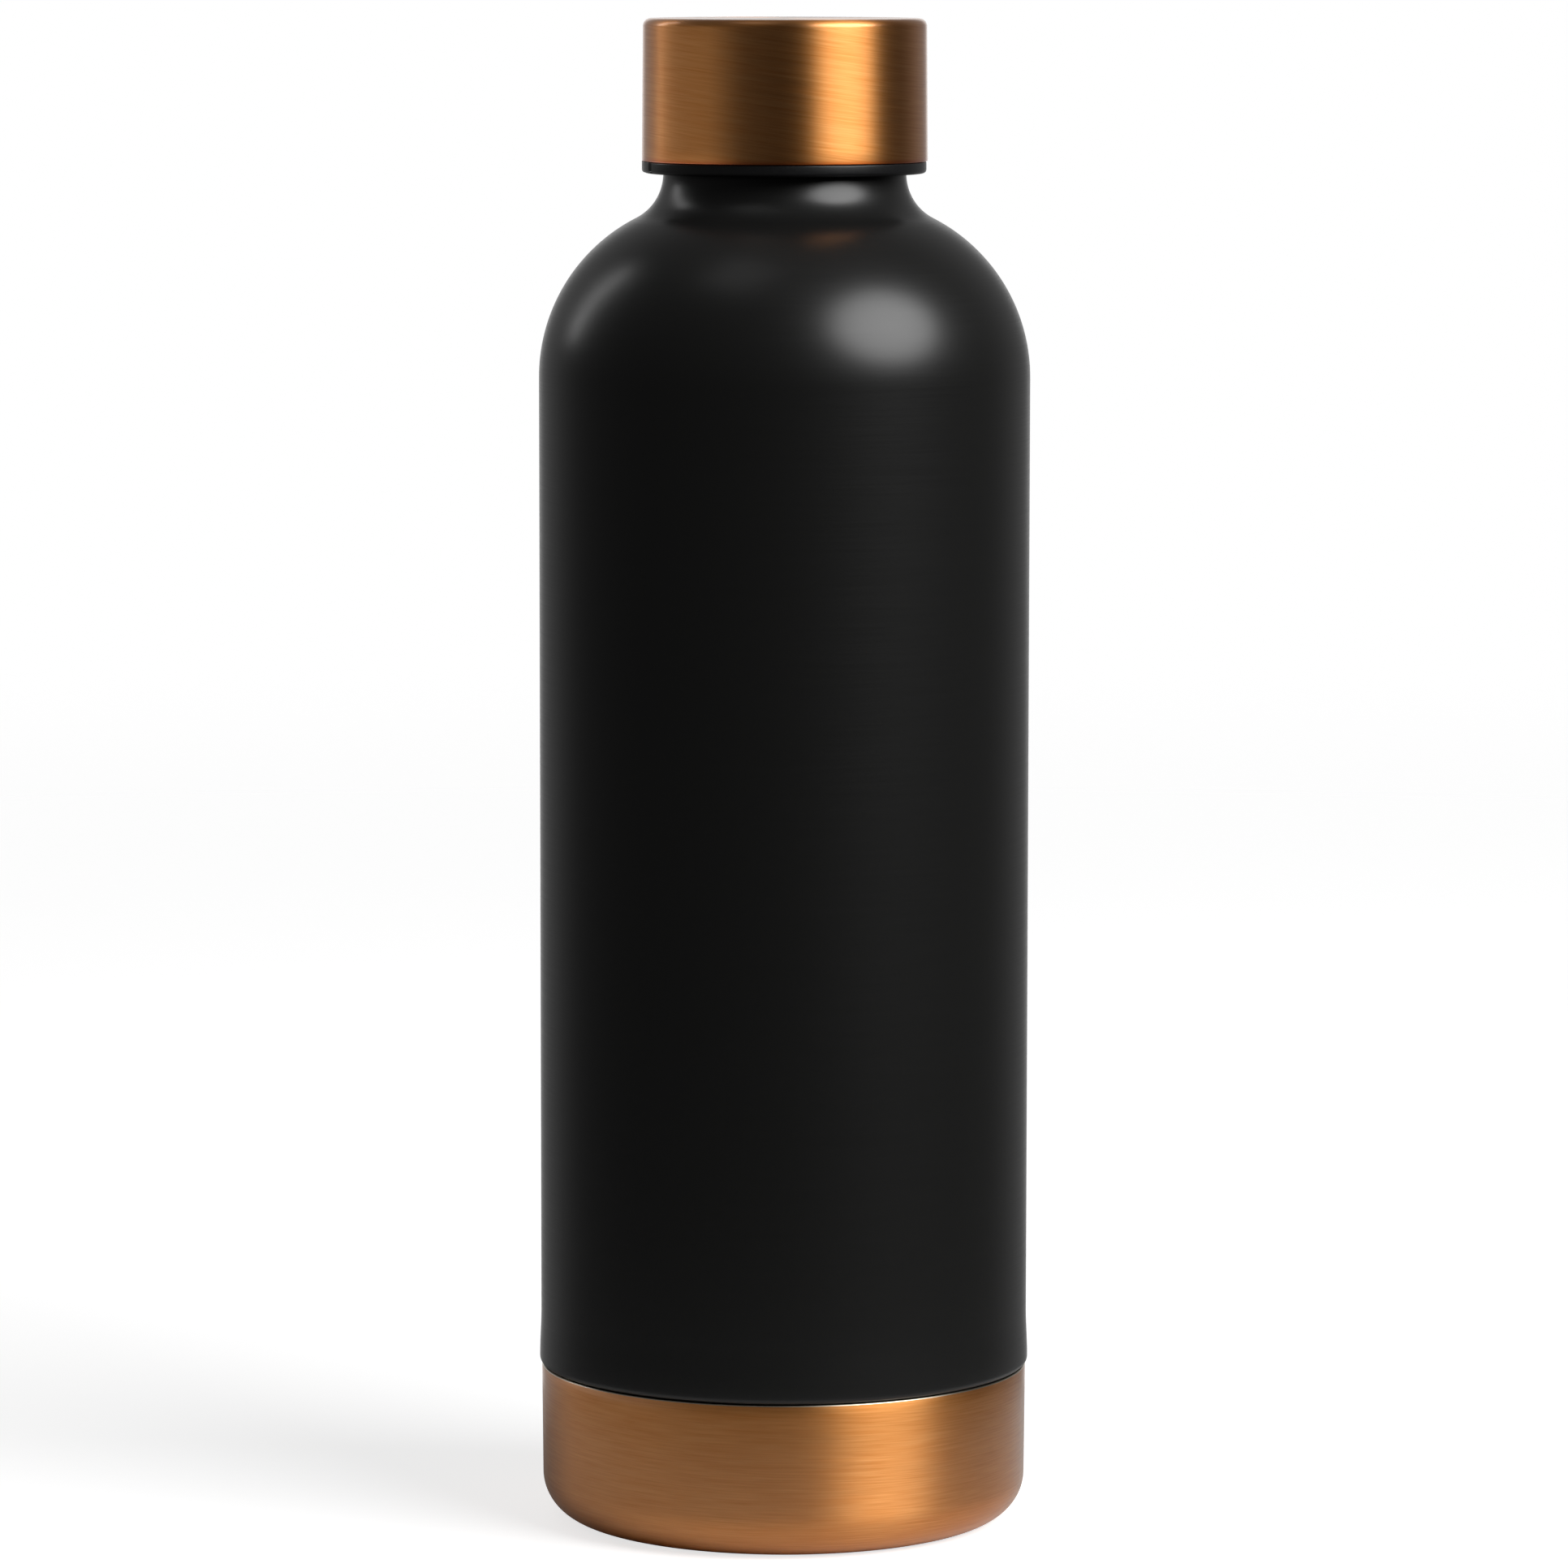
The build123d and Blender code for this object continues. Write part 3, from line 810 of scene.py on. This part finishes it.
def grained_finish(name, dark, light, roughness, grain, relief, metallic=0.0, inner_light=0.0):
    """A plain material whose tone, roughness and surface vary with its grain.

    grain is the size of a grain and relief its height, in millimetres.
    """
    material, tree = new_finish(name)
    place = add_node(tree, "TexCoord").outputs["Object"]
    noise = add_node(
        tree, "TexNoise", None, {"Vector": place, "Scale": 1 / (grain * MM), "Detail": 3.0}
    )
    colour = add_node(
        tree,
        "MixRGB",
        None,
        {"Fac": noise.outputs["Fac"], "Color1": linear(dark), "Color2": linear(light)},
    )
    spread = add_node(
        tree,
        "MapRange",
        None,
        {
            "Value": noise.outputs["Fac"],
            "From Min": 0.3,
            "From Max": 0.7,
            "To Min": roughness - ROUGHNESS_SPREAD,
            "To Max": roughness + ROUGHNESS_SPREAD,
        },
    )
    bump = add_node(
        tree,
        "Bump",
        None,
        {"Strength": 0.6, "Distance": relief * MM, "Height": noise.outputs["Fac"]},
    )
    shader = add_node(
        tree,
        "BsdfPrincipled",
        None,
        {
            "Base Color": colour.outputs[0],
            "Metallic": metallic,
            "Roughness": spread.outputs[0],
            "Subsurface Weight": inner_light,
            "Subsurface Radius": (GLOW_DEPTH * MM,) * 3,
            "Normal": bump.outputs[0],
        },
    )
    close_finish(tree, shader)
    return material


lid_plastic = grained_finish("moulded_polypropylene", "#131314", "#19191A", 0.34, 0.25, 0.006)
plug_plastic = grained_finish("moulded_plug_polypropylene", "#1C1C1D", "#232324", 0.42, 0.3, 0.012)
silicone = grained_finish(
    "translucent_silicone", "#C9C8C2", "#D6D5D0", 0.45, 0.4, 0.008, inner_light=0.6
)
foam = grained_finish("closed_cell_foam", "#D9D6CC", "#F0EEE6", 0.85, 0.6, 0.15)
adhesive = grained_finish("cured_epoxy", "#A88F52", "#BFA468", 0.3, 1.5, 0.03, inner_light=0.3)
solder_glass = grained_finish("solder_glass", "#2A3138", "#3B454D", 0.12, 0.8, 0.01)
getter = grained_finish("pressed_getter_alloy", "#3A3937", "#55534F", 0.75, 0.12, 0.02, 0.6)

# %% [markdown]
# ## Dressing the pieces
# New pieces get their finish directly. Pieces that stay as the design made them get it in their
# own material slots, so their shapes are untouched.

# %% Give every piece its finish
finishes = {
    "black_shell": black_coat,
    "copper_base_cup": copper_on_cup,
    "copper_lid_sleeve": copper_on_sleeve,
    "steel_flask": steel,
    "steel_flask_bottom": steel,
    "lid_moulding": lid_plastic,
    "stopper_plug": plug_plastic,
    "silicone_ring": silicone,
    "shell_bottom": steel,
    "getter_clip": steel,
    "getter_tablet": getter,
    "sealing_bead": solder_glass,
    "lid_foam": foam,
    "sleeve_glue": adhesive,
    "base_glue_ring": adhesive,
}
for name, finish in finishes.items():
    mesh = bpy.data.objects[name].data
    if not mesh.materials:
        mesh.materials.append(finish)
    for index in range(len(mesh.materials)):
        mesh.materials[index] = finish
print("dressed", len(finishes), "pieces")

# %% [markdown]
# ## Studio
# The bottle stands on a pale floor that fades into a white background in every direction. Only
# the ring of it close round the bottle shows in reflections, as a small white table would. The
# floor has a hole under the foot and is clear from below, so that the underside can be looked
# at. The room in front is dim and the wall behind is bright, which gives both sides of the
# black shell a soft grey edge.

# %% Floor
FLOOR_HOLE, FLOOR_NEAR, FLOOR_FAR = 0.0245, 0.11, 1.6
FADE_START, FADE_END = 0.35, 1.3
FLOOR_GLOW, FLOOR_SIDES = 0.72, 128


def floor_finish():
    """Pale floor, brightened for the camera. It fades out with distance and is clear from below."""
    material, tree = new_finish("pale_floor")
    place = add_node(tree, "TexCoord").outputs["Object"]
    distance = add_node(tree, "VectorMath", {"operation": "LENGTH"}, {0: place})
    fade = add_node(
        tree,
        "MapRange",
        {"interpolation_type": "SMOOTHSTEP"},
        {"Value": distance.outputs["Value"], "From Min": FADE_START, "From Max": FADE_END},
    )
    paint = add_node(
        tree, "BsdfPrincipled", None, {"Base Color": linear("#D4D4D4"), "Roughness": 0.9}
    )
    glow = add_node(tree, "Emission", None, {"Color": (1, 1, 1, 1), "Strength": FLOOR_GLOW})
    no_glow = add_node(tree, "Emission", None, {"Strength": 0.0})
    for_camera = add_node(tree, "LightPath").outputs["Is Camera Ray"]
    extra = add_node(
        tree, "MixShader", None, {"Fac": for_camera, 1: no_glow.outputs[0], 2: glow.outputs[0]}
    )
    sheet = add_node(tree, "AddShader", None, {0: paint.outputs[0], 1: extra.outputs[0]})
    clear = add_node(tree, "BsdfTransparent")
    from_below = add_node(tree, "NewGeometry").outputs["Backfacing"]
    hidden = add_node(
        tree, "Math", {"operation": "MAXIMUM"}, {0: fade.outputs[0], 1: from_below}
    )
    mixed = add_node(
        tree,
        "MixShader",
        None,
        {"Fac": hidden.outputs[0], 1: sheet.outputs[0], 2: clear.outputs[0]},
    )
    close_finish(tree, mixed)
    return material


pale_floor = floor_finish()


def floor_ring(name, inner, outer, seen_in_reflections):
    """Flat ring of floor round the bottle, facing up."""
    select_nothing()
    bpy.ops.mesh.primitive_circle_add(vertices=FLOOR_SIDES, radius=inner)
    sheet = bpy.context.object
    sheet.name = sheet.data.name = name
    bpy.ops.object.mode_set(mode="EDIT")
    bpy.ops.mesh.select_all(action="SELECT")
    bpy.ops.mesh.extrude_edges_move()
    growth = outer / inner
    bpy.ops.transform.resize(value=(growth, growth, 1), center_override=(0, 0, 0))
    bpy.ops.mesh.select_all(action="SELECT")
    bpy.ops.mesh.normals_make_consistent(inside=False)
    bpy.ops.object.mode_set(mode="OBJECT")
    if sheet.data.polygons[0].normal.z < 0:
        sheet.data.flip_normals()
    sheet.data.materials.append(pale_floor)
    sheet.visible_glossy = seen_in_reflections
    sheet.visible_diffuse = seen_in_reflections
    facing = sheet.data.polygons[0].normal.z
    print(f"{name}: {len(sheet.data.polygons)} faces, facing {facing:+.0f}")


floor_ring("near_floor", FLOOR_HOLE, FLOOR_NEAR, seen_in_reflections=True)
floor_ring("far_floor", FLOOR_NEAR, FLOOR_FAR, seen_in_reflections=False)

# %% [markdown]
# The surroundings are a gradient from a dim room in front to a bright wall straight behind the
# bottle, with a little light from the left and from overhead. What the camera sees directly is
# plain white.

# %% Surroundings
# Share of the way from front to back (0.5 is beside the bottle), and how bright the room is there.
ROOM_GLOW = [
    (0, 0.02),
    (0.5, 0.03),
    (0.69, 0.05),
    (0.8, 0.13),
    (0.93, 0.22),
    (0.965, 0.27),
    (0.99, 1),
]
LEFT_GLOW, OVERHEAD_GLOW, OVERHEAD_FROM = 0.05, 0.07, 0.7

world = bpy.data.worlds.new("studio")
bpy.context.scene.world = world
world.use_nodes = True
sky = world.node_tree
sky.nodes.clear()
direction = add_node(sky, "TexCoord").outputs["Generated"]
sky_axes = add_node(sky, "SeparateXYZ", None, {0: direction})
to_back = add_node(sky, "MapRange", None, {"Value": sky_axes.outputs["Y"], "From Min": -1.0})
room = add_node(sky, "ValToRGB", None, {"Fac": to_back.outputs[0]})
stops = room.color_ramp.elements
for place, glow in ROOM_GLOW[1:]:
    stops.new(place).color = (glow, glow, glow, 1)
stops[0].color = (ROOM_GLOW[0][1],) * 3 + (1,)
to_left = add_node(
    sky,
    "MapRange",
    None,
    {"Value": sky_axes.outputs["X"], "From Max": -1.0, "To Max": LEFT_GLOW},
)
to_top = add_node(
    sky,
    "MapRange",
    {"interpolation_type": "SMOOTHSTEP"},
    {"Value": sky_axes.outputs["Z"], "From Min": OVERHEAD_FROM, "To Max": OVERHEAD_GLOW},
)
sides = add_node(
    sky, "Math", {"operation": "ADD"}, {0: to_left.outputs[0], 1: to_top.outputs[0]}
)
total = add_node(
    sky, "Math", {"operation": "ADD"}, {0: room.outputs["Color"], 1: sides.outputs[0]}
)
dim = add_node(
    sky, "Background", None, {"Color": (1, 1, 1, 1), "Strength": total.outputs[0]}
)
white = add_node(sky, "Background", None, {"Color": (1, 1, 1, 1), "Strength": 1.0})
ray = add_node(sky, "LightPath")
seen = add_node(
    sky,
    "MixShader",
    None,
    {"Fac": ray.outputs["Is Camera Ray"], 1: dim.outputs[0], 2: white.outputs[0]},
)
add_node(sky, "OutputWorld", None, {"Surface": seen.outputs[0]})

# %% [markdown]
# Two lights do most of the work. A large round softbox, high on the right, makes the highlight
# on the shoulder and the bright band on the copper. A tall strip behind on the left makes the
# narrow streak on the other shoulder. A weak fill from above opens up the rest. Sizes and
# distances are in metres, and glow is the brightness of a lamp's face.

# %% Softboxes
LIGHT_TARGET = Vector((0, 0, 0.13))


def softbox(name, azimuth, elevation, distance, width, height, glow, shape="RECTANGLE"):
    """Lamp aimed at the bottle. Azimuth 0 is the camera's side and 90 is to the right."""
    lamp = bpy.data.lights.new(name, "AREA")
    lamp.shape = shape
    lamp.size = width
    lamp.size_y = height
    share = pi / 4 if shape == "ELLIPSE" else 1.0
    lamp.energy = glow * pi * width * height * share
    holder = bpy.data.objects.new(name, lamp)
    bpy.context.scene.collection.objects.link(holder)
    a, e = radians(azimuth), radians(elevation)
    away = Vector((sin(a) * cos(e), -cos(a) * cos(e), sin(e)))
    holder.location = LIGHT_TARGET + away * distance
    holder.rotation_euler = away.to_track_quat("Z", "Y").to_euler()
    holder.visible_camera = False
    print(f"{name}: {lamp.energy:.1f} W")


softbox(
    "key_softbox",
    azimuth=55,
    elevation=34,
    distance=1.5,
    width=1.32,
    height=1.1,
    glow=6.5,
    shape="ELLIPSE",
)
softbox(
    "left_strip", azimuth=-123, elevation=26, distance=1.5, width=0.15, height=0.8, glow=3.6
)
softbox("top_fill", azimuth=-50, elevation=70, distance=1.6, width=0.6, height=0.6, glow=0.45)

# %% [markdown]
# A white card lies on the floor to the left and throws light up at the metal. Black flags would
# keep that light off the shell in a studio. Here the card is linked to the two copper pieces.

# %% White card
CARD_GLOW, CARD_WIDTH, CARD_LENGTH = 0.95, 0.4, 0.8
CARD_PLACE = (-0.42, 0.12, 0.004)

card = bpy.data.lights.new("left_card", "AREA")
card.shape = "RECTANGLE"
card.size, card.size_y = CARD_WIDTH, CARD_LENGTH
card.energy = CARD_GLOW * pi * CARD_WIDTH * CARD_LENGTH
card_holder = bpy.data.objects.new("left_card", card)
bpy.context.scene.collection.objects.link(card_holder)
card_holder.location = CARD_PLACE
card_holder.rotation_euler = (pi, 0, 0)
card_holder.visible_camera = False
lit_by_card = bpy.data.collections.new("lit_by_card")
lit_by_card.objects.link(lid_sleeve)
lit_by_card.objects.link(base_cup)
card_holder.light_linking.receiver_collection = lit_by_card

# %% [markdown]
# ## Camera
# A long lens about a metre away, a little above the lid, looking slightly down. The film frame
# is square.

# %% Camera
CAMERA_ASIDE, CAMERA_DISTANCE, CAMERA_HEIGHT = -0.00015, 1.0901, 0.2319
CAMERA_PITCH, CAMERA_ROLL = 0.1134, -0.001
LENS, FILM_WIDTH = 173.16, 36.0

camera_data = bpy.data.cameras.new("camera")
camera_data.lens = LENS
camera_data.sensor_width = FILM_WIDTH
camera = bpy.data.objects.new("camera", camera_data)
bpy.context.scene.collection.objects.link(camera)
camera.location = (CAMERA_ASIDE, -CAMERA_DISTANCE, CAMERA_HEIGHT)
camera.rotation_euler = (pi / 2 - CAMERA_PITCH, CAMERA_ROLL, 0)
bpy.context.scene.camera = camera
bpy.context.scene.view_settings.view_transform = "Standard"
